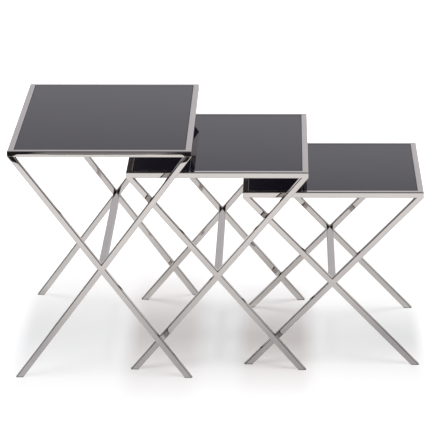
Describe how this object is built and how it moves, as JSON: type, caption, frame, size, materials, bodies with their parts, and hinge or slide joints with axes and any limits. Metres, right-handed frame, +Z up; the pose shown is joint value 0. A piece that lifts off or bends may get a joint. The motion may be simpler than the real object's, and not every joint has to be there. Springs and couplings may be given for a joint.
{
  "type": "nesting tables",
  "caption": "Nesting side tables with black glass tops let into polished square-tube frames, on crossed legs tied by a stretcher; each smaller one slides under the next.",
  "frame": {"origin": "on the floor, under the centre of the box around the whole set", "axes": "+Z up; +X is the way the smaller tables are drawn out, from the large table to the small one; +Y runs from the front leg crosses to the rear ones"},
  "size_m": [1.023, 0.6, 0.595],
  "materials": {
    "chrome_tube": "mirror-polished bright metal plate on square steel tube",
    "black_glass": "opaque black toughened glass, polished",
    "tab_steel": "bright plated steel plate",
    "soft_pad": "soft clear silicone",
    "foot_plastic": "matt black moulded plastic"
  },
  "bodies": {
    "large_table": {"large_front_rail": "chrome_tube", "large_rear_rail": "chrome_tube", "large_left_rail": "chrome_tube", "large_right_rail": "chrome_tube", "large_glass_top": "black_glass", "large_corner_tabs": "tab_steel", "large_glass_pads": "soft_pad", "large_front_leg_long": "chrome_tube", "large_front_leg_upper": "chrome_tube", "large_front_leg_lower": "chrome_tube", "large_rear_leg_long": "chrome_tube", "large_rear_leg_upper": "chrome_tube", "large_rear_leg_lower": "chrome_tube", "large_stretcher": "chrome_tube", "large_foot_plugs": "foot_plastic"},
    "medium_table": {"medium_front_rail": "chrome_tube", "medium_rear_rail": "chrome_tube", "medium_left_rail": "chrome_tube", "medium_right_rail": "chrome_tube", "medium_glass_top": "black_glass", "medium_corner_tabs": "tab_steel", "medium_glass_pads": "soft_pad", "medium_front_leg_long": "chrome_tube", "medium_front_leg_upper": "chrome_tube", "medium_front_leg_lower": "chrome_tube", "medium_rear_leg_long": "chrome_tube", "medium_rear_leg_upper": "chrome_tube", "medium_rear_leg_lower": "chrome_tube", "medium_stretcher": "chrome_tube", "medium_foot_plugs": "foot_plastic"},
    "small_table": {"small_front_rail": "chrome_tube", "small_rear_rail": "chrome_tube", "small_left_rail": "chrome_tube", "small_right_rail": "chrome_tube", "small_glass_top": "black_glass", "small_corner_tabs": "tab_steel", "small_glass_pads": "soft_pad", "small_front_leg_long": "chrome_tube", "small_front_leg_upper": "chrome_tube", "small_front_leg_lower": "chrome_tube", "small_rear_leg_long": "chrome_tube", "small_rear_leg_upper": "chrome_tube", "small_rear_leg_lower": "chrome_tube", "small_stretcher": "chrome_tube", "small_foot_plugs": "foot_plastic"}
  },
  "joints": [
    {"name": "medium_slide", "type": "slide", "parent": "large_table", "child": "medium_table", "axis": [1, 0, 0], "range_m": [-0.226, 0.214]},
    {"name": "small_slide", "type": "slide", "parent": "medium_table", "child": "small_table", "axis": [1, 0, 0], "range_m": [-0.224, 0.213]}
  ]
}
